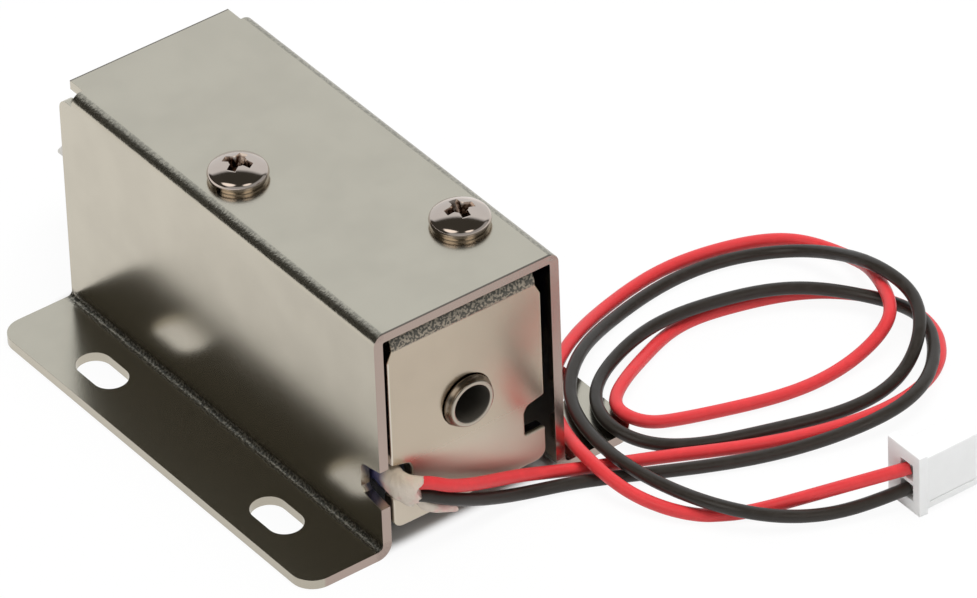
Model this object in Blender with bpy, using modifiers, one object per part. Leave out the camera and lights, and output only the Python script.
"""Solenoid lock: a sprung wedge bolt that a coil draws in, under a folded mounting bracket.

Metres, +Z up. X is the lock's width and +Y the way the bolt points; z = 0 is the underside
of the feet. Every place along Y is counted from the wire end of the bracket, and the empty
"lock" then moves the whole lock so that its origin is the middle of its footprint.
"""

import math

import bmesh
import bpy
import numpy as np
from mathutils import Vector

# ---------------------------------------------------------------- driving sizes (metres)

SEAM = 0.0002             # between pieces that are clamped or pressed together
RUNNING_GAP = 0.0002      # between the plunger and what it slides in
OVERRUN = 0.001           # how far a cutter runs past the surface that it cuts

# Outer bracket: one folded sheet with a top, two walls and two slotted feet
BRACKET_LENGTH = 0.0550
BRACKET_WIDTH = 0.0230
BRACKET_HEIGHT = 0.0280
BRACKET_SHEET = 0.0011
TOP_BEND_RADIUS = 0.0013          # outside of the bend
FOOT_BEND_RADIUS = 0.0006         # inside of the bend, above the foot
FEET_SPAN = 0.0420
FOOT_CORNER_RADIUS = 0.0026
SLOT_WIDTH = 0.0039
SLOT_LENGTH = 0.0068
SLOT_REAR_INSET = 0.0114          # from the wire end to the rear slots' middle
SLOT_FRONT_INSET = 0.0127         # from the front edge to the front slots' middle
LIP_INSET = 0.0015                # what the reliefs take off each side of the top's front edge
LIP_LENGTH = 0.0023
WALL_TAB_DROP = 0.0014            # from the top face down to the wall's front corner
WALL_TAB_RADIUS = 0.0014

# Notch in the left wall for the leads, open at the wire end
WALL_NOTCH_DEPTH = 0.0034
WALL_NOTCH_BOTTOM = 0.0062
WALL_NOTCH_TOP = 0.01095
WALL_NOTCH_TAPER = 0.0006
WALL_NOTCH_RADIUS = 0.0006

# Inner frame: one folded strip with a rear and a front end plate
FRAME_SHEET = 0.0016
FRAME_SIDE_PLAY = 0.0008          # to each wall of the bracket
FRAME_SETBACK = 0.0006            # from each end of the bracket
FRAME_BEND_RADIUS = 0.0020        # outside of the bend
FRAME_BOTTOM = 0.0024             # height of the end plates' lower edges
FRAME_CORNER_RADIUS = 0.0012
FRAME_WAIST_INSET = 0.0006        # how much narrower each side is at the bends
FRAME_WAIST_HEIGHT = 0.0021       # from the frame's top down to where the waist flares
FRAME_WAIST_FLARE = 0.0012
LEAD_NOTCH_DEPTH = 0.00255        # into both sides of the rear plate
LEAD_NOTCH_BOTTOM = 0.0063
LEAD_NOTCH_HEIGHT = 0.0044
LEAD_NOTCH_CHAMFER = 0.0008

# Two screws through the bracket's top into the frame
SCREW_DIAMETER = 0.0030
SCREW_LENGTH = 0.0060             # under the head
SCREW_HEAD_DIAMETER = 0.00645
SCREW_HEAD_HEIGHT = 0.0014
SCREW_RECESS_SPAN = 0.0034
SCREW_RECESS_WIDTH = 0.0008
SCREW_RECESS_DEPTH = 0.0010
SCREW_HOLE_PLAY = 0.0003          # on the radius
SCREW_REAR_INSET = 0.00485        # from the bracket's right side
SCREW_REAR_Y = 0.0100
SCREW_FRONT_INSET = 0.0053        # from the bracket's left side
SCREW_FRONT_Y = 0.0305
LOCK_WASHER_DIAMETER = 0.0060
LOCK_WASHER_THICKNESS = 0.0006
LOCK_WASHER_SLIT = 0.0007

# Solenoid, round about an axis along Y
COIL_HEADROOM = 0.0017            # from the frame's top down to the spool's flanges
COIL_SIDE_ROOM = 0.0014           # from the bracket's walls to the spool's flanges
STROKE = 0.0100
END_GAP = 0.0003                  # left between the pole faces when the bolt is drawn in
CORE_LENGTH = 0.0103              # inside the frame, to the pole face
CORE_BORE = 0.0045
SPIGOT_WALL = 0.00047
SPIGOT_PROUD = 0.0010             # outside the frame
SPIGOT_FLARE = 0.00028            # how far the rivet's foot spreads, on the radius
BOBBIN_LENGTH = 0.0331
BOBBIN_WALL = 0.0008
BOBBIN_FLANGE_THICKNESS = 0.0010
COIL_INSET = 0.0003               # from the flanges' edge down to the tape
COIL_TAPE = 0.0004

# Bolt: plunger and wedge head, one piece of steel
BOLT_WIDTH = 0.0095
BOLT_PROUD = 0.0116               # past the bracket's front edge
BOLT_BEVEL_LENGTH = 0.0080
BOLT_TIP_LAND = 0.0004
BOLT_EDGE = 0.0002
WINDOW_PLAY = 0.00025             # round the bolt, in the front plate
WINDOW_RADIUS = 0.0004
TURNING_CUT = 0.00005             # what turning the plunger takes off each side of the square bar
STOP_WASHER_REACH = 0.0023        # beyond the plunger
STOP_WASHER_THICKNESS = 0.0010
RING_REACH = 0.0021               # beyond the plunger
RING_THICKNESS = 0.0008
RING_OPENING = 0.0040
GROOVE_DEPTH = 0.0010
SPRING_WIRE = 0.0007
SPRING_TURNS = 4.5                # active turns
SPRING_CLOSED_TURNS = 0.75        # lying flat at each end

# Leads, shared sleeve and two-way connector
LEAD_DIAMETER = 0.0014
SLEEVE_WIDTH = 0.0022
SLEEVE_HEIGHT = 0.0036
PIN_PITCH = 0.0025
CAVITY = 0.0020
PIN_LINE_Y = -0.0267
RIM_X = 0.0347                    # the face that the leads enter
RIM_THICKNESS = 0.0011
RIM_STEP = 0.00045                # above and below the shell
RIM_LEDGE = 0.0014                # beside the shell, on its far side
SHELL_LENGTH = 0.0066
SHELL_SIDE_WALL = 0.0009          # beside the cavities
SHELL_END_WALL = 0.00105          # above and below them
NEAR_STEP = 0.0002                # rim to shell, on the near side
TERMINAL_PLAY = 0.00025           # to each wall of its cavity
TERMINAL_BORE = 0.0008

# Routes of the leads, chosen by hand, in millimetres from the wire end of the bracket
SLEEVE_ROUTE = [
    (-8.9, 5.0, 8.6), (-9.0, 3.0, 8.45), (-9.1, 1.2, 8.25), (-8.7, -0.3, 7.9), (-7.8, -1.0, 7.5), (-6.7, -1.3, 7.2),
]
BLACK_ROUTE = [
    (-6.3, -1.3, 6.3), (-4.5, -1.8, 5.4), (-0.2, -1.6, 3.1), (5.3, -1.5, 1.1), (10.8, -3.3, 0.85),
    (19.3, -7.7, 0.85), (28.3, -11.8, 0.85), (36.8, -14.6, 1.6), (44.0, -15.2, 2.5), (50.2, -11.5, 2.45),
    (53.6, -5.4, 2.5), (52.4, 1.0, 1.95), (46.9, 6.8, 2.45), (39.4, 10.1, 2.5), (31.4, 11.0, 2.5),
    (25.0, 9.6, 2.0), (20.4, 6.5, 2.0), (18.2, 2.0, 2.0), (19.4, -2.1, 1.3), (23.6, -5.6, 0.85),
    (31.0, -8.6, 0.85), (39.6, -10.9, 0.85), (46.6, -10.5, 1.5), (50.9, -8.3, 3.6), (53.6, -3.7, 4.7),
    (53.5, 1.4, 5.1), (53.2, 7.0, 3.6), (51.4, 13.0, 1.5), (45.8, 16.8, 0.85), (38.0, 17.7, 0.85),
    (29.6, 16.1, 0.95), (22.6, 12.4, 2.0), (17.9, 7.6, 2.0), (15.6, 1.2, 2.1), (15.0, -5.4, 2.5),
    (16.2, -11.4, 2.4), (18.4, -17.2, 2.5), (22.4, -21.3, 1.8), (28.3, -24.2, 1.3), (35.2, -26.7, 2.5),
]
RED_ROUTE = [
    (-6.3, -1.3, 8.0), (-4.5, -1.8, 7.1), (-0.1, -1.4, 5.0), (5.3, -0.8, 2.9), (11.6, -1.6, 1.1),
    (19.7, -5.2, 0.85), (28.4, -9.6, 0.85), (37.2, -12.6, 0.85), (44.6, -13.2, 0.85), (51.2, -10.9, 0.85),
    (54.8, -5.5, 0.85), (54.1, 0.8, 0.85), (49.0, 6.8, 0.85), (41.6, 10.0, 0.85), (34.6, 11.0, 0.85),
    (28.6, 9.0, 1.1), (23.8, 6.2, 1.9), (20.5, 3.1, 2.0), (21.2, -0.2, 1.8), (24.6, -1.3, 0.95),
    (30.0, -3.2, 0.85), (38.0, -5.2, 0.85), (45.6, -5.3, 1.7), (50.0, -4.4, 3.6), (52.6, -0.6, 3.75),
    (54.7, 4.8, 2.5), (55.5, 9.3, 1.0), (53.0, 15.2, 0.85), (46.4, 18.8, 0.85), (38.6, 19.8, 0.85),
    (30.6, 18.4, 0.85), (23.0, 14.7, 1.9), (17.3, 10.0, 2.0), (13.9, 3.6, 2.1), (12.4, -3.2, 2.7),
    (13.2, -8.9, 1.7), (16.6, -14.7, 0.85), (20.8, -17.7, 0.85), (26.0, -21.2, 2.4), (35.2, -26.7, 5.0),
]

# ---------------------------------------------------------------- places worked out from them

LIP_WIDTH = BRACKET_WIDTH - 2 * LIP_INSET
SLOT_X = (BRACKET_WIDTH / 2 + FOOT_BEND_RADIUS + FEET_SPAN / 2) / 2    # middle of a foot's flat
SCREW_PLACES = {
    "rear": (BRACKET_WIDTH / 2 - SCREW_REAR_INSET, SCREW_REAR_Y),
    "front": (SCREW_FRONT_INSET - BRACKET_WIDTH / 2, SCREW_FRONT_Y),
}

FRAME_WIDTH = BRACKET_WIDTH - 2 * (BRACKET_SHEET + FRAME_SIDE_PLAY)
FRAME_TOP = BRACKET_HEIGHT - BRACKET_SHEET - SEAM
FRAME_REAR = FRAME_SETBACK
FRAME_FRONT = BRACKET_LENGTH - FRAME_SETBACK
REAR_SEAT = FRAME_REAR + FRAME_SHEET      # inner face of the rear plate
FRONT_SEAT = FRAME_FRONT - FRAME_SHEET    # inner face of the front plate

PLUNGER_DIAMETER = BOLT_WIDTH - 2 * TURNING_CUT
SPIGOT_DIAMETER = CORE_BORE + 2 * SPIGOT_WALL
BOBBIN_FLANGE_DIAMETER = BRACKET_WIDTH - 2 * (BRACKET_SHEET + COIL_SIDE_ROOM)
AXIS_HEIGHT = FRAME_TOP - FRAME_SHEET - COIL_HEADROOM - BOBBIN_FLANGE_DIAMETER / 2
COIL_DIAMETER = BOBBIN_FLANGE_DIAMETER - 2 * COIL_INSET
BOBBIN_REAR = REAR_SEAT + SEAM
BOBBIN_FRONT = BOBBIN_REAR + BOBBIN_LENGTH
BOBBIN_BORE_RADIUS = PLUNGER_DIAMETER / 2 + RUNNING_GAP
POLE_FACE = REAR_SEAT + CORE_LENGTH

PLUNGER_REAR = POLE_FACE + END_GAP + STROKE
STOP_WASHER_FRONT = FRONT_SEAT - END_GAP
BOLT_SHOULDER = STOP_WASHER_FRONT + SEAM
BOLT_TIP = BRACKET_LENGTH + BOLT_PROUD
STOP_WASHER_REAR = STOP_WASHER_FRONT - STOP_WASHER_THICKNESS
RING_FRONT = STOP_WASHER_REAR - SEAM
RING_REAR = RING_FRONT - RING_THICKNESS

SHELL_WIDTH = CAVITY + 2 * SHELL_SIDE_WALL
SHELL_HEIGHT = PIN_PITCH + CAVITY + 2 * SHELL_END_WALL
RIM_HEIGHT = SHELL_HEIGHT + 2 * RIM_STEP
SHELL_NEAR_Y = PIN_LINE_Y - SHELL_WIDTH / 2
PIN_HEIGHTS = {"black": (RIM_HEIGHT - PIN_PITCH) / 2, "red": (RIM_HEIGHT + PIN_PITCH) / 2}

MIDDLE_Y = (BOLT_TIP + FRAME_REAR - SPIGOT_PROUD) / 2    # between spigot face and bolt tip
HAT_TOP = BRACKET_HEIGHT + SEAM

# ---------------------------------------------------------------- scene and helpers

for leftover in list(bpy.data.objects):
    bpy.data.objects.remove(leftover)


def collection(name):
    found = bpy.data.collections.get(name) or bpy.data.collections.new(name)
    if found.name not in bpy.context.scene.collection.children:
        bpy.context.scene.collection.children.link(found)
    return found


PARTS = collection("solenoid_lock")
CUTTERS = collection("cutters")


def material(name, colour, roughness, metallic=0.0):
    made = bpy.data.materials.new(name)
    made.use_nodes = True
    shader = made.node_tree.nodes["Principled BSDF"]
    shader.inputs["Base Color"].default_value = (*colour, 1.0)
    shader.inputs["Roughness"].default_value = roughness
    shader.inputs["Metallic"].default_value = metallic
    return made


NICKEL = material("nickel_plate", (0.43, 0.41, 0.36), 0.3, 1.0)
FRAME_STEEL = material("zinc_steel", (0.38, 0.37, 0.34), 0.35, 1.0)
CORE_STEEL = material("core_steel", (0.42, 0.40, 0.37), 0.3, 1.0)
BOLT_STEEL = material("bolt_steel", (0.50, 0.48, 0.45), 0.3, 1.0)
SCREW_STEEL = material("screw_nickel", (0.55, 0.53, 0.50), 0.2, 1.0)
WASHER_STEEL = material("washer_brass_tint", (0.50, 0.41, 0.24), 0.3, 1.0)
SPRING_STEEL = material("spring_steel", (0.45, 0.44, 0.42), 0.3, 1.0)
TERMINAL_TIN = material("tinned_terminal", (0.62, 0.60, 0.55), 0.3, 1.0)
COPPER = material("enamelled_copper", (0.55, 0.22, 0.09), 0.35, 1.0)
TAPE = material("blue_tape", (0.03, 0.07, 0.32), 0.4)
SPOOL = material("spool_nylon", (0.62, 0.60, 0.55), 0.5)
DAMPER = material("damping_washer", (0.03, 0.03, 0.03), 0.8)
SLEEVE = material("lead_sleeve", (0.80, 0.76, 0.70), 0.4)
RED_PVC = material("red_pvc", (0.62, 0.03, 0.04), 0.45)
BLACK_PVC = material("black_pvc", (0.02, 0.02, 0.02), 0.45)
NYLON = material("white_nylon", (0.78, 0.78, 0.78), 0.4)

TURN_TO = {"Z": (0, 0, 0), "Y": (math.pi / 2, 0, 0), "X": (math.pi / 2, 0, math.pi / 2)}


def finish(obj, finish_material):
    """Make an object one of the lock's parts."""
    obj.data.materials.clear()
    obj.data.materials.append(finish_material)
    PARTS.objects.link(obj)
    return obj


def as_cutter(obj):
    obj.hide_render = True
    obj.display_type = "WIRE"
    CUTTERS.objects.link(obj)
    return obj


def combine(target, other, operation="DIFFERENCE"):
    """Cut, join or trim target with another solid, which is kept as a guide."""
    as_cutter(other)
    boolean = target.modifiers.new(other.name, "BOOLEAN")
    boolean.operation = operation
    boolean.object = other
    return target


def round_edges(obj, width, segments=2):
    bevel = obj.modifiers.new("Bevel", "BEVEL")
    bevel.width = width
    bevel.segments = segments
    bevel.limit_method = "ANGLE"
    return obj


def from_bmesh(name, shape):
    mesh = bpy.data.meshes.new(name)
    shape.to_mesh(mesh)
    shape.free()
    return bpy.data.objects.new(name, mesh)


def box(name, low, high):
    """A box between two opposite corners."""
    low, high = Vector(low), Vector(high)
    shape = bmesh.new()
    bmesh.ops.create_cube(shape, size=1)
    bmesh.ops.scale(shape, vec=high - low, verts=shape.verts)
    obj = from_bmesh(name, shape)
    obj.location = (low + high) / 2
    return obj


def cylinder(name, diameter, start, length, axis="Z", segments=32):
    """A cylinder that runs from start along an axis."""
    shape = bmesh.new()
    bmesh.ops.create_cone(
        shape, cap_ends=True, segments=segments, radius1=diameter / 2, radius2=diameter / 2, depth=length
    )
    obj = from_bmesh(name, shape)
    along = {"X": Vector((1, 0, 0)), "Y": Vector((0, 1, 0)), "Z": Vector((0, 0, 1))}[axis]
    obj.location = Vector(start) + along * length / 2
    obj.rotation_euler = TURN_TO[axis]
    return obj


def rounded(corners, closed=True, segments=6):
    """An outline through corners (u, v, radius), with an arc at each corner that has a radius."""
    outline = []
    count = len(corners)
    for index, (u, v, radius) in enumerate(corners):
        corner = Vector((u, v))
        at_end = not closed and index in (0, count - 1)
        if radius == 0 or at_end:
            outline.append(tuple(corner))
            continue
        back = (Vector(corners[index - 1][:2]) - corner).normalized()
        ahead = (Vector(corners[(index + 1) % count][:2]) - corner).normalized()
        half = back.angle(ahead) / 2
        centre = corner + (back + ahead).normalized() * radius / math.sin(half)
        start = corner + back * radius / math.tan(half) - centre
        sweep = math.copysign(math.pi - 2 * half, back.x * ahead.y - back.y * ahead.x) * -1
        for step in range(segments + 1):
            angle = sweep * step / segments
            turned_arm = Vector((
                start.x * math.cos(angle) - start.y * math.sin(angle),
                start.x * math.sin(angle) + start.y * math.cos(angle),
            ))
            outline.append(tuple(centre + turned_arm))
    return outline


def as_mesh(curve_object):
    """Turn a curve object into a closed mesh object of the same name and place."""
    bpy.context.scene.collection.objects.link(curve_object)
    bpy.context.view_layer.update()
    mesh = bpy.data.meshes.new_from_object(
        curve_object.evaluated_get(bpy.context.evaluated_depsgraph_get())
    )
    shape = bmesh.new()
    shape.from_mesh(mesh)
    bmesh.ops.remove_doubles(shape, verts=shape.verts, dist=1e-6)
    bmesh.ops.recalc_face_normals(shape, faces=shape.faces)
    shape.to_mesh(mesh)
    shape.free()
    name, place = curve_object.name, curve_object.matrix_world.copy()
    bpy.data.objects.remove(curve_object)
    obj = bpy.data.objects.new(name, mesh)
    obj.matrix_world = place
    return obj


def extruded(name, outline, depth, facing, location):
    """A flat outline given thickness along the axis it faces, centred on its location.

    An outline's (u, v) are (x, y) when it faces Z, (x, z) facing Y and (y, z) facing X.
    """
    curve = bpy.data.curves.new(name, "CURVE")
    curve.dimensions = "2D"
    curve.fill_mode = "BOTH"
    curve.extrude = depth / 2
    spline = curve.splines.new("POLY")
    spline.points.add(len(outline) - 1)
    for point, (u, v) in zip(spline.points, outline):
        point.co = (u, v, 0, 1)
    spline.use_cyclic_u = True
    obj = bpy.data.objects.new(name, curve)
    obj.location = location
    obj.rotation_euler = TURN_TO[facing]
    return as_mesh(obj)


def rectangle(width, height, radius, centre=(0, 0)):
    u, v = centre
    return rounded([
        (u - width / 2, v - height / 2, radius), (u + width / 2, v - height / 2, radius),
        (u + width / 2, v + height / 2, radius), (u - width / 2, v + height / 2, radius),
    ])


def folded_sheet(name, path, start, length, axis):
    """A sheet folded along a path (u, v) of its outer face and drawn out along an axis.

    The path climbs, crosses and comes down clockwise as seen by someone whom the sheet is
    drawn away from, so that the thickness goes to its inner side.
    """
    across = {"Y": lambda u, v: (u, start, v), "X": lambda u, v: (start, u, v)}[axis]
    pull = {"Y": (0, length, 0), "X": (length, 0, 0)}[axis]
    shape = bmesh.new()
    points = [shape.verts.new(across(u, v)) for u, v in path]
    edges = [shape.edges.new(pair) for pair in zip(points, points[1:])]
    swept = bmesh.ops.extrude_edge_only(shape, edges=edges)["geom"]
    bmesh.ops.translate(shape, vec=pull, verts=[v for v in swept if isinstance(v, bmesh.types.BMVert)])
    return from_bmesh(name, shape)


def solidify(obj, thickness):
    shell = obj.modifiers.new("Solidify", "SOLIDIFY")
    shell.thickness = thickness
    shell.offset = -1
    shell.use_even_offset = True
    return obj


def mirror_x(obj):
    mirror = obj.modifiers.new("Mirror", "MIRROR")
    mirror.use_axis[0] = True
    mirror.merge_threshold = 1e-6
    return obj


def turned(name, profile, location, axis="Y", segments=48):
    """Revolve a profile of (radius, distance along the axis) points.

    The profile runs down its outer side. One that stays off the axis is a ring and closes
    on itself; otherwise its first and last point lie on the axis.
    """
    mesh = bpy.data.meshes.new(name)
    links = [(i, i + 1) for i in range(len(profile) - 1)]
    if min(radius for radius, _ in profile) > 0:
        links.append((len(profile) - 1, 0))
    mesh.from_pydata([(radius, 0, along) for radius, along in profile], links, [])
    obj = bpy.data.objects.new(name, mesh)
    obj.location = location
    if axis == "Y":
        obj.rotation_euler = (-math.pi / 2, 0, 0)
    screw = obj.modifiers.new("Screw", "SCREW")
    screw.axis = "Z"
    screw.steps = screw.render_steps = segments
    screw.use_merge_vertices = True
    screw.merge_threshold = 1e-6
    return obj


def smooth_curve(route):
    """Closely spaced points, in metres, on the natural cubic spline through a route."""
    knots = np.array(route) / 1000
    place = np.concatenate(([0], np.cumsum(np.linalg.norm(np.diff(knots, axis=0), axis=1) ** 0.5)))
    gap = np.diff(place)
    count = len(knots)
    system, load = np.eye(count), np.zeros_like(knots)
    for i in range(1, count - 1):
        system[i, i - 1:i + 2] = gap[i - 1], 2 * (gap[i - 1] + gap[i]), gap[i]
        load[i] = 6 * ((knots[i + 1] - knots[i]) / gap[i] - (knots[i] - knots[i - 1]) / gap[i - 1])
    bend = np.linalg.solve(system, load)
    at = np.linspace(0, place[-1], 60 * count)
    span = np.clip(np.searchsorted(place, at, side="right") - 1, 0, count - 2)
    a = ((place[span + 1] - at) / gap[span])[:, None]
    b = 1 - a
    width = gap[span][:, None]
    return a * knots[span] + b * knots[span + 1] + (
        (a ** 3 - a) * bend[span] + (b ** 3 - b) * bend[span + 1]
    ) * width ** 2 / 6


def thinned(points, longest, sharpest):
    """Keep a point wherever the curve has run a given length or turned by a given angle."""
    kept = [Vector(points[0])]
    leaving = (Vector(points[1]) - Vector(points[0])).normalized()
    for before, here in zip(points[1:], points[2:]):
        here = Vector(here)
        heading = (here - Vector(before)).normalized()
        if (here - kept[-1]).length > longest or heading.angle(leaving) > sharpest:
            kept.append(here)
            leaving = heading
    end = Vector(points[-1])
    if (end - kept[-1]).length < longest / 3:
        kept.pop()
    return kept + [end]


def poly_curve(name, points, diameter=0.0, closed=False):
    curve = bpy.data.curves.new(name, "CURVE")
    curve.dimensions = "3D"
    curve.bevel_depth = diameter / 2
    curve.bevel_resolution = 2
    curve.use_fill_caps = True
    spline = curve.splines.new("POLY")
    spline.points.add(len(points) - 1)
    for point, place in zip(spline.points, points):
        point.co = (*place, 1)
    spline.use_cyclic_u = closed
    return bpy.data.objects.new(name, curve)


# ---------------------------------------------------------------- bracket and frame


def drill_screw_holes(sheet):
    """Clearance holes through the top of a sheet, for both screws."""
    for place, (x, y) in SCREW_PLACES.items():
        hole = cylinder(
            f"{sheet.name}_{place}_hole", SCREW_DIAMETER + 2 * SCREW_HOLE_PLAY,
            (x, y, FRAME_TOP - FRAME_SHEET - OVERRUN),
            BRACKET_HEIGHT - FRAME_TOP + FRAME_SHEET + 2 * OVERRUN,
        )
        combine(sheet, hole)


def bracket_relief(side):
    """What is missing at a front top corner: the bend, and the wall's rounded corner."""
    edge = BRACKET_LENGTH - LIP_LENGTH
    tab = BRACKET_HEIGHT - WALL_TAB_DROP
    above, beyond = BRACKET_HEIGHT + OVERRUN, BRACKET_LENGTH + OVERRUN
    outline = rounded([
        (edge, above, 0), (edge, tab, 0), (BRACKET_LENGTH, tab, WALL_TAB_RADIUS),
        (BRACKET_LENGTH, tab - WALL_TAB_RADIUS, 0), (beyond, tab - WALL_TAB_RADIUS, 0), (beyond, above, 0),
    ])
    reach = (BRACKET_WIDTH - LIP_WIDTH) / 2 + OVERRUN
    return extruded(f"relief_{side}", outline, reach, "X", (side * (LIP_WIDTH + reach) / 2, 0, 0))


def outer_bracket():
    wall, top = BRACKET_WIDTH / 2, BRACKET_HEIGHT
    half = rounded([
        (0, top, 0), (wall, top, TOP_BEND_RADIUS), (wall, BRACKET_SHEET, FOOT_BEND_RADIUS),
        (FEET_SPAN / 2 + OVERRUN, BRACKET_SHEET, 0),
    ], closed=False)
    bracket = folded_sheet(
        "outer_bracket", half, BRACKET_LENGTH + OVERRUN, -BRACKET_LENGTH - 2 * OVERRUN, "Y"
    )
    mirror_x(bracket)
    solidify(bracket, BRACKET_SHEET)

    blank = rectangle(FEET_SPAN, BRACKET_LENGTH, FOOT_CORNER_RADIUS, (0, BRACKET_LENGTH / 2))
    height = BRACKET_HEIGHT + 2 * OVERRUN
    combine(bracket, extruded("bracket_blank", blank, height, "Z", (0, 0, BRACKET_HEIGHT / 2)), "INTERSECT")
    for side in (-1, 1):
        combine(bracket, bracket_relief(side))
        for y in (SLOT_REAR_INSET, BRACKET_LENGTH - SLOT_FRONT_INSET):
            slot = rectangle(SLOT_WIDTH, SLOT_LENGTH, SLOT_WIDTH / 2 * 0.999)
            combine(bracket, extruded("slot", slot, 4 * BRACKET_SHEET, "Z", (side * SLOT_X, y, 0)))

    notch = rounded([
        (-OVERRUN, WALL_NOTCH_BOTTOM, 0), (0, WALL_NOTCH_BOTTOM, 0),
        (WALL_NOTCH_DEPTH, WALL_NOTCH_BOTTOM + WALL_NOTCH_TAPER, WALL_NOTCH_RADIUS),
        (WALL_NOTCH_DEPTH, WALL_NOTCH_TOP - WALL_NOTCH_TAPER, WALL_NOTCH_RADIUS),
        (0, WALL_NOTCH_TOP, 0), (-OVERRUN, WALL_NOTCH_TOP, 0),
    ])
    wall_middle = -(BRACKET_WIDTH - BRACKET_SHEET) / 2
    combine(bracket, extruded("wall_notch", notch, 3 * BRACKET_SHEET, "X", (wall_middle, 0, 0)))
    drill_screw_holes(bracket)
    return finish(bracket, NICKEL)


def frame_waist(side, end):
    """Material missing beside a bend of the frame, where the strip is narrower."""
    edge = FRAME_WIDTH / 2
    waist = FRAME_TOP - FRAME_WAIST_HEIGHT
    outline = [
        (side * (edge - FRAME_WAIST_INSET), FRAME_TOP + OVERRUN),
        (side * (edge - FRAME_WAIST_INSET), waist),
        (side * edge, waist - FRAME_WAIST_FLARE),
        (side * (edge + OVERRUN), waist - FRAME_WAIST_FLARE),
        (side * (edge + OVERRUN), FRAME_TOP + OVERRUN),
    ]
    depth = FRAME_BEND_RADIUS + FRAME_SHEET + OVERRUN
    y = {"rear": FRAME_REAR - OVERRUN + depth / 2, "front": FRAME_FRONT + OVERRUN - depth / 2}[end]
    return extruded(f"waist_{end}_{side}", outline, depth, "Y", (0, y, 0))


def lead_notch(side):
    """Notch in an edge of the rear plate, with its upper corner chamfered."""
    edge = FRAME_WIDTH / 2
    root = edge - LEAD_NOTCH_DEPTH
    top = LEAD_NOTCH_BOTTOM + LEAD_NOTCH_HEIGHT
    outline = [
        (side * (edge + OVERRUN), LEAD_NOTCH_BOTTOM), (side * root, LEAD_NOTCH_BOTTOM),
        (side * root, top - 2 * LEAD_NOTCH_CHAMFER),
        (side * (root + LEAD_NOTCH_CHAMFER / 2), top - LEAD_NOTCH_CHAMFER),
        (side * (edge + OVERRUN), top),
    ]
    depth = FRAME_SHEET + 2 * OVERRUN
    return extruded(f"lead_notch_{side}", outline, depth, "Y", (0, FRAME_REAR + FRAME_SHEET / 2, 0))


def inner_frame():
    path = rounded([
        (FRAME_REAR, FRAME_BOTTOM - OVERRUN, 0), (FRAME_REAR, FRAME_TOP, FRAME_BEND_RADIUS),
        (FRAME_FRONT, FRAME_TOP, FRAME_BEND_RADIUS), (FRAME_FRONT, FRAME_BOTTOM - OVERRUN, 0),
    ], closed=False)
    width = FRAME_WIDTH + 2 * OVERRUN
    frame = folded_sheet("inner_frame", path, -width / 2, width, "X")
    solidify(frame, FRAME_SHEET)

    edge, above = FRAME_WIDTH / 2, FRAME_TOP + OVERRUN
    blank = rounded([
        (-edge, FRAME_BOTTOM, FRAME_CORNER_RADIUS), (edge, FRAME_BOTTOM, FRAME_CORNER_RADIUS),
        (edge, above, 0), (-edge, above, 0),
    ])
    length = BRACKET_LENGTH + 2 * OVERRUN
    combine(frame, extruded("frame_blank", blank, length, "Y", (0, BRACKET_LENGTH / 2, 0)), "INTERSECT")
    for side in (-1, 1):
        combine(frame, lead_notch(side))
        for end in ("rear", "front"):
            combine(frame, frame_waist(side, end))

    opening = BOLT_WIDTH + 2 * WINDOW_PLAY
    window = rectangle(opening, opening, WINDOW_RADIUS, (0, AXIS_HEIGHT))
    plate = FRAME_SHEET + 2 * OVERRUN
    combine(frame, extruded("bolt_window", window, plate, "Y", (0, FRAME_FRONT - FRAME_SHEET / 2, 0)))
    rivet_hole = cylinder(
        "rivet_hole", SPIGOT_DIAMETER + 2 * SEAM, (0, FRAME_REAR - OVERRUN, AXIS_HEIGHT), plate, "Y", 48
    )
    combine(frame, rivet_hole)
    drill_screw_holes(frame)
    return finish(frame, FRAME_STEEL)


# ---------------------------------------------------------------- screws


def screw(place):
    """Pan-head machine screw with a cross recess, seated on its lock washer."""
    x, y = SCREW_PLACES[place]
    radius, height = SCREW_HEAD_DIAMETER / 2, SCREW_HEAD_HEIGHT
    shank = SCREW_DIAMETER / 2
    rise = 0.82 * height
    ball = (radius ** 2 + rise ** 2) / (2 * rise)
    reach = math.asin(radius / ball)
    dome = [
        (ball * math.sin(angle), height - ball * (1 - math.cos(angle)))
        for angle in (reach * step / 6 for step in range(1, 7))
    ]
    profile = [(0, height), *dome, (radius, height * 0.06), (radius * 0.98, 0), (shank, 0)]
    profile += [(shank, -SCREW_LENGTH + 0.2 * shank), (0.8 * shank, -SCREW_LENGTH), (0, -SCREW_LENGTH)]
    seat = HAT_TOP + LOCK_WASHER_THICKNESS + SEAM
    made = turned(f"screw_{place}", profile, (x, y, seat), axis="Z", segments=32)

    arm, blade = SCREW_RECESS_SPAN / 2, SCREW_RECESS_WIDTH / 2
    quarter = [(arm, -0.8 * blade), (arm, 0.8 * blade), (1.1 * blade, 1.1 * blade)]
    cross = []
    for turn in range(4):
        c, s = round(math.cos(turn * math.pi / 2)), round(math.sin(turn * math.pi / 2))
        cross += [(u * c - v * s, u * s + v * c) for u, v in quarter]
    deep = SCREW_RECESS_DEPTH + OVERRUN
    middle = seat + height - SCREW_RECESS_DEPTH + deep / 2
    combine(made, extruded(f"recess_{place}", cross, deep, "Z", (x, y, middle)))
    return finish(made, SCREW_STEEL)


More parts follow.
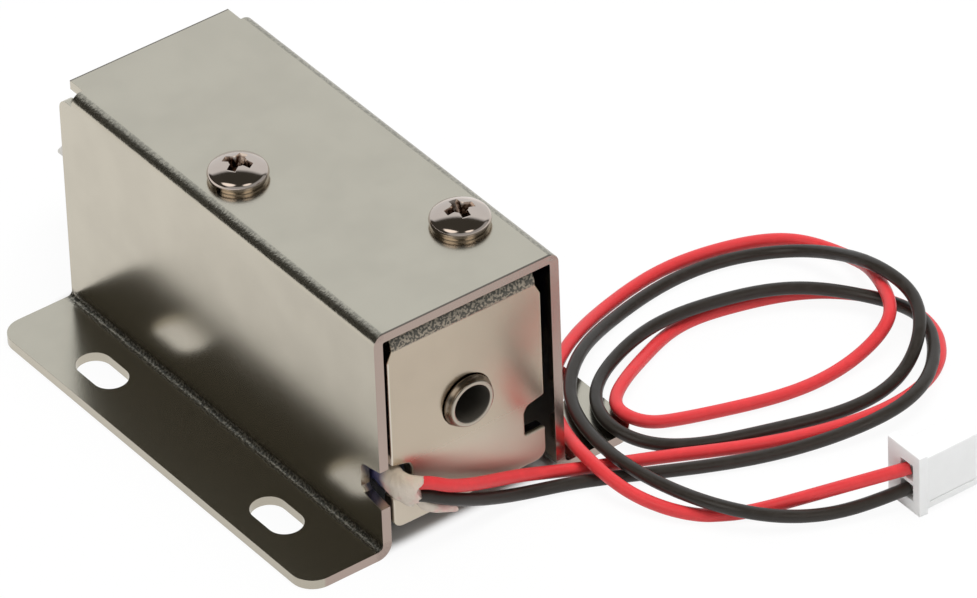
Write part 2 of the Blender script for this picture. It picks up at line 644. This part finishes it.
def lock_washer(place):
    """Split spring washer under a screw head."""
    x, y = SCREW_PLACES[place]
    inner = SCREW_DIAMETER / 2 + SCREW_HOLE_PLAY
    outer = LOCK_WASHER_DIAMETER / 2
    ring = [(outer, LOCK_WASHER_THICKNESS), (outer, 0), (inner, 0), (inner, LOCK_WASHER_THICKNESS)]
    washer = turned(f"lock_washer_{place}", ring, (x, y, HAT_TOP), axis="Z", segments=32)
    slit = box(
        f"slit_{place}", (x + inner / 2, y - LOCK_WASHER_SLIT / 2, HAT_TOP - OVERRUN),
        (x + outer + OVERRUN, y + LOCK_WASHER_SLIT / 2, HAT_TOP + LOCK_WASHER_THICKNESS + OVERRUN),
    )
    combine(washer, slit)
    return finish(washer, WASHER_STEEL)


# ---------------------------------------------------------------- solenoid


def on_axis(y=0.0):
    return (0, y, AXIS_HEIGHT)


def fixed_core():
    """Hollow steel core whose spigot is riveted through the rear plate."""
    bore, spigot, body = CORE_BORE / 2, SPIGOT_DIAMETER / 2, PLUNGER_DIAMETER / 2
    face = FRAME_REAR - SPIGOT_PROUD
    flare_front = FRAME_REAR - SEAM
    shoulder = REAR_SEAT + SEAM
    lip = 0.15 * (spigot - bore) + 0.0001
    profile = [
        (bore, POLE_FACE), (body, POLE_FACE), (body, shoulder), (spigot - SEAM / 2, shoulder),
        (spigot - SEAM / 2, flare_front), (spigot + SPIGOT_FLARE, flare_front),
        (spigot, flare_front - (flare_front - face) / 2), (spigot, face + lip), (spigot - lip, face), (bore, face),
    ]
    return finish(turned("fixed_core", profile, on_axis()), CORE_STEEL)


def bobbin():
    """Plastic spool that the winding and the plunger's bore share."""
    bore = BOBBIN_BORE_RADIUS
    tube, flange = bore + BOBBIN_WALL, BOBBIN_FLANGE_DIAMETER / 2
    rear, front = BOBBIN_REAR, BOBBIN_FRONT
    profile = [
        (bore, front), (flange, front), (flange, front - BOBBIN_FLANGE_THICKNESS),
        (tube, front - BOBBIN_FLANGE_THICKNESS), (tube, rear + BOBBIN_FLANGE_THICKNESS),
        (flange, rear + BOBBIN_FLANGE_THICKNESS), (flange, rear), (bore, rear),
    ]
    return finish(turned("bobbin", profile, on_axis()), SPOOL)


def coil_layer(name, inner, outer, layer_material):
    """A ring that fills the spool's length between its flanges."""
    rear = BOBBIN_REAR + BOBBIN_FLANGE_THICKNESS + SEAM
    front = BOBBIN_FRONT - BOBBIN_FLANGE_THICKNESS - SEAM
    profile = [(inner, front), (outer, front), (outer, rear), (inner, rear)]
    return finish(turned(name, profile, on_axis()), layer_material)


def coil():
    tape_inner = COIL_DIAMETER / 2 - COIL_TAPE
    spool = BOBBIN_BORE_RADIUS + BOBBIN_WALL
    return [
        coil_layer("coil_winding", spool + SEAM, tape_inner - SEAM, COPPER),
        coil_layer("coil_wrap", tape_inner, COIL_DIAMETER / 2, TAPE),
    ]


# ---------------------------------------------------------------- bolt and what rides on it


def bolt():
    """Round plunger and square wedge head in one piece, with a groove for the ring."""
    plunger = PLUNGER_DIAMETER / 2
    groove = plunger - GROOVE_DEPTH
    joined = BOLT_SHOULDER + OVERRUN
    profile = [
        (0, joined), (plunger, joined), (plunger, RING_FRONT + SEAM), (groove, RING_FRONT + SEAM),
        (groove, RING_REAR - SEAM), (plunger, RING_REAR - SEAM), (plunger, PLUNGER_REAR + BOLT_EDGE),
        (plunger - BOLT_EDGE, PLUNGER_REAR), (0, PLUNGER_REAR),
    ]
    made = turned("bolt", profile, on_axis())
    half = BOLT_WIDTH / 2
    wedge = [
        (BOLT_SHOULDER, AXIS_HEIGHT - half), (BOLT_TIP, AXIS_HEIGHT - half),
        (BOLT_TIP, AXIS_HEIGHT - half + BOLT_TIP_LAND), (BOLT_TIP - BOLT_BEVEL_LENGTH, AXIS_HEIGHT + half),
        (BOLT_SHOULDER, AXIS_HEIGHT + half),
    ]
    head = round_edges(extruded("bolt_head", wedge, BOLT_WIDTH, "X", (0, 0, 0)), BOLT_EDGE)
    combine(made, head, "UNION")
    return finish(made, BOLT_STEEL)


def retaining_ring():
    """Open ring snapped into the plunger's groove; the spring bears on it."""
    inner = PLUNGER_DIAMETER / 2 - GROOVE_DEPTH + SEAM
    outer = PLUNGER_DIAMETER / 2 + RING_REACH
    profile = [(inner, RING_FRONT), (outer, RING_FRONT), (outer, RING_REAR), (inner, RING_REAR)]
    ring = turned("retaining_ring", profile, on_axis())
    mouth = box(
        "ring_mouth", (-RING_OPENING / 2, RING_REAR - OVERRUN, AXIS_HEIGHT),
        (RING_OPENING / 2, RING_FRONT + OVERRUN, AXIS_HEIGHT + outer + OVERRUN),
    )
    combine(ring, mouth)
    return finish(ring, SPRING_STEEL)


def stop_washer():
    """Soft washer between the ring and the bolt's head, which stops against the front plate."""
    inner, outer = PLUNGER_DIAMETER / 2 + SEAM, PLUNGER_DIAMETER / 2 + STOP_WASHER_REACH
    profile = [
        (inner, STOP_WASHER_FRONT), (outer, STOP_WASHER_FRONT),
        (outer, STOP_WASHER_REAR), (inner, STOP_WASHER_REAR),
    ]
    return finish(turned("stop_washer", profile, on_axis()), DAMPER)


def return_spring():
    """Compression spring round the plunger, from the spool to the ring."""
    radius = PLUNGER_DIAMETER / 2 + END_GAP + SPRING_WIRE / 2
    first = BOBBIN_FRONT + END_GAP + SPRING_WIRE / 2
    last = RING_REAR - END_GAP - SPRING_WIRE / 2
    closed = SPRING_CLOSED_TURNS
    turns = SPRING_TURNS + 2 * closed
    closed_rise = closed * SPRING_WIRE * 1.15
    stations = [0, closed, turns - closed, turns]
    heights = [first, first + closed_rise, last - closed_rise, last]
    per_turn = 14
    points = []
    for step in range(round(turns * per_turn) + 1):
        turn = step / per_turn
        angle = 2 * math.pi * turn
        along = float(np.interp(turn, stations, heights))
        points.append((radius * math.cos(angle), along, AXIS_HEIGHT + radius * math.sin(angle)))
    return finish(as_mesh(poly_curve("return_spring", points, SPRING_WIRE)), SPRING_STEEL)


# ---------------------------------------------------------------- leads and connector


def lead_sleeve():
    """Oval sleeve round both leads, from beside the coil out through the notches."""
    count = 24
    section = [
        (SLEEVE_WIDTH / 2 * math.cos(2 * math.pi * i / count), SLEEVE_HEIGHT / 2 * math.sin(2 * math.pi * i / count), 0)
        for i in range(count)
    ]
    oval = poly_curve("sleeve_section", section, closed=True)
    sleeve = poly_curve("lead_sleeve", thinned(smooth_curve(SLEEVE_ROUTE), SLEEVE_WIDTH / 2, math.radians(15)))
    sleeve.data.bevel_mode = "OBJECT"
    sleeve.data.bevel_object = oval
    sleeve.data.twist_mode = "Z_UP"
    bpy.context.scene.collection.objects.link(oval)
    made = as_mesh(sleeve)
    bpy.data.objects.remove(oval)
    return finish(made, SLEEVE)


def lead(name, route, lead_material):
    """A lead of its real length, lying on the surface that the lock stands on."""
    points = smooth_curve(route)
    points[:, 2] = np.maximum(points[:, 2], LEAD_DIAMETER / 2 + 0.00005)
    kept = thinned(points, 3 * LEAD_DIAMETER, math.radians(24))
    return finish(as_mesh(poly_curve(name, kept, LEAD_DIAMETER)), lead_material)


def connector_housing():
    """Two-way housing with a rim at the lead side and a cavity for each terminal."""
    shell_x = RIM_X + RIM_THICKNESS
    mating_x = shell_x + SHELL_LENGTH
    middle_z = RIM_HEIGHT / 2
    housing = round_edges(box(
        "connector_housing", (RIM_X, SHELL_NEAR_Y - NEAR_STEP, 0),
        (shell_x, SHELL_NEAR_Y + SHELL_WIDTH + RIM_LEDGE - NEAR_STEP, RIM_HEIGHT),
    ), 0.00015)
    shell = round_edges(box(
        "connector_shell", (shell_x - RIM_THICKNESS / 2, SHELL_NEAR_Y, middle_z - SHELL_HEIGHT / 2),
        (mating_x, SHELL_NEAR_Y + SHELL_WIDTH, middle_z + SHELL_HEIGHT / 2),
    ), 0.00015)
    combine(housing, shell, "UNION")
    for colour, z in PIN_HEIGHTS.items():
        cavity = box(
            f"cavity_{colour}", (RIM_X - OVERRUN, PIN_LINE_Y - CAVITY / 2, z - CAVITY / 2),
            (mating_x + OVERRUN, PIN_LINE_Y + CAVITY / 2, z + CAVITY / 2),
        )
        combine(housing, cavity)
    return finish(housing, NYLON)


def terminal(colour):
    """Crimp contact: a barrel behind and a square receptacle toward the mating face."""
    z = PIN_HEIGHTS[colour]
    size = CAVITY - 2 * TERMINAL_PLAY
    rear = RIM_X + RIM_THICKNESS + SEAM
    front = RIM_X + RIM_THICKNESS + SHELL_LENGTH - 2 * SEAM
    middle = rear + (front - rear) / 3
    half, bore = size / 2, TERMINAL_BORE / 2
    contact = box(
        f"terminal_{colour}", (middle, PIN_LINE_Y - half, z - half), (front, PIN_LINE_Y + half, z + half)
    )
    barrel = cylinder(
        f"barrel_{colour}", 0.85 * size, (rear, PIN_LINE_Y, z), middle - rear + OVERRUN / 2, "X", 24
    )
    combine(contact, barrel, "UNION")
    socket = box(
        f"socket_{colour}", (middle + OVERRUN, PIN_LINE_Y - bore, z - bore),
        (front + OVERRUN, PIN_LINE_Y + bore, z + bore),
    )
    combine(contact, socket)
    return finish(contact, TERMINAL_TIN)


# ---------------------------------------------------------------- assembly


def build():
    lock = bpy.data.objects.new("lock", None)
    lock.location = (0, -MIDDLE_Y, 0)
    PARTS.objects.link(lock)
    carriage = bpy.data.objects.new("bolt_carriage", None)    # slides along the plunger's axis
    carriage.location = on_axis()
    carriage.parent = lock
    PARTS.objects.link(carriage)

    fixed = [outer_bracket(), inner_frame(), fixed_core(), bobbin(), *coil(), return_spring()]
    for place in SCREW_PLACES:
        fixed += [screw(place), lock_washer(place)]
    fixed += [lead_sleeve(), lead("red_wire", RED_ROUTE, RED_PVC), lead("black_wire", BLACK_ROUTE, BLACK_PVC)]
    fixed += [connector_housing(), terminal("red"), terminal("black")]
    for obj in fixed:
        obj.parent = lock
    for cutter in CUTTERS.objects:
        cutter.parent = lock
    for obj in (bolt(), retaining_ring(), stop_washer()):
        obj.location.z -= AXIS_HEIGHT
        obj.parent = carriage
    for cutter in CUTTERS.objects:
        cutter.parent = lock


build()
